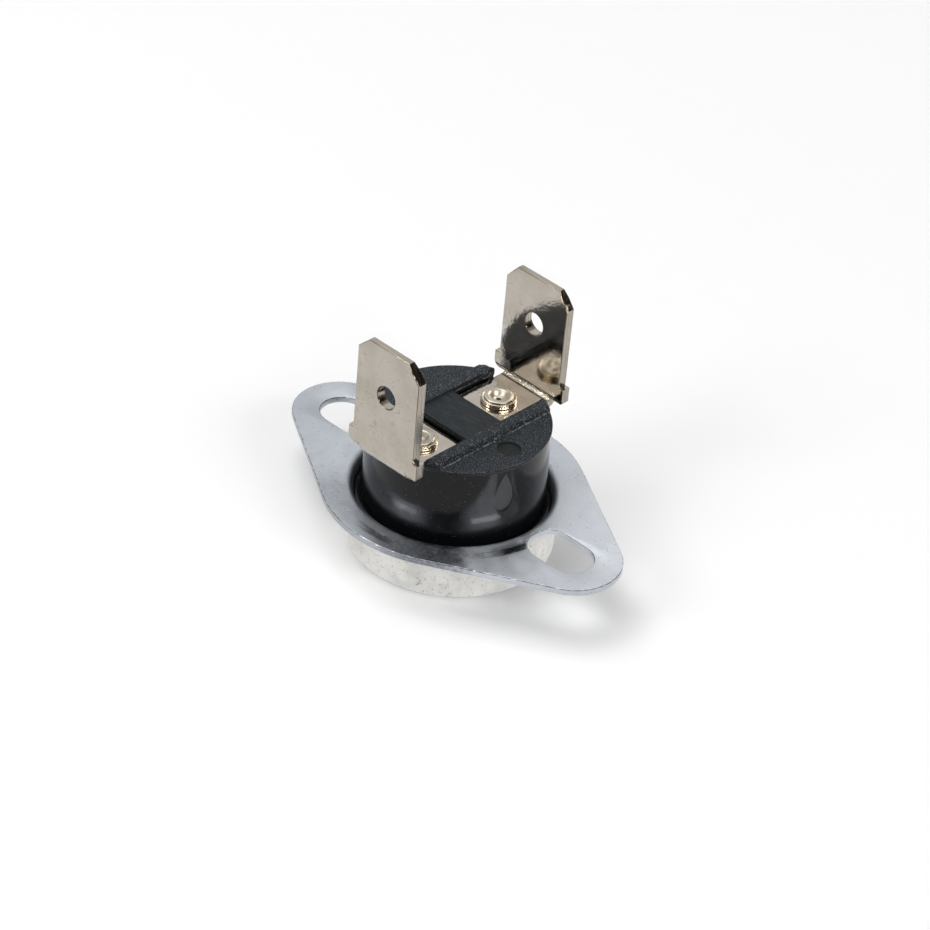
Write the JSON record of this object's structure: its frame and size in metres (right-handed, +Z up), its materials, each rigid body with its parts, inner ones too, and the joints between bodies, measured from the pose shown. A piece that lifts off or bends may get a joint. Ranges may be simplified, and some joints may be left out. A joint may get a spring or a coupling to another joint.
{
  "type": "snap-disc limit switch",
  "caption": "Round black snap-action heat switch in a flanged metal cup, with two upright quick-connect tabs riveted on top.",
  "frame": {"origin": "centre of the flat underside of the metal cup, which is the lowest face and the heat-sensing face", "axes": "+X along the flange through both slots, +Y along the line through both rivets towards the rear tab, +Z up out of the cup along the tabs"},
  "size_m": [0.0324, 0.0206, 0.0204],
  "materials": {
    "aluminium_sheet": "satin, lightly scratched",
    "black_moulding": "glossy sides, pebbled matt top",
    "plated_brass": "bright nickel plate",
    "rivet_metal": "bright",
    "spring_copper": "rolled sheet",
    "strip_brass": "rolled sheet",
    "contact_silver": "satin",
    "pin_ceramic": "matt fired",
    "guide_moulding": "matt",
    "bimetal": "rolled"
  },
  "bodies": {
    "housing": {"flange_cup": "aluminium_sheet", "case": "black_moulding", "terminal_front": "plated_brass", "terminal_rear": "plated_brass", "washer_front": "plated_brass", "washer_rear": "plated_brass", "rivet_front": "rivet_metal", "rivet_rear": "rivet_metal", "fixed_contact_plate": "strip_brass", "fixed_contact": "contact_silver", "disc_guide": "guide_moulding"},
    "disc": {"bimetal_disc": "bimetal"},
    "pin": {"push_pin": "pin_ceramic"},
    "arm": {"contact_arm": "spring_copper", "moving_contact": "contact_silver"}
  },
  "joints": [
    {"name": "disc_snap", "type": "slide", "parent": "housing", "child": "disc", "axis": [0, 0, 1], "range_m": [0, 0.0003]},
    {"name": "pin_lift", "type": "slide", "parent": "housing", "child": "pin", "axis": [0, 0, 1], "range_m": [0, 0.0003]},
    {"name": "arm_flex", "type": "hinge", "parent": "housing", "child": "arm", "pos_m": [0, -0.00425, 0.0086], "axis": [1, 0, 0], "range_deg": [0, 4.1]}
  ],
  "couplings": [
    {"joint": "pin_lift", "follows": "disc_snap", "ratio": 1},
    {"joint": "arm_flex", "follows": "disc_snap", "rad_per_m": 235.29}
  ]
}
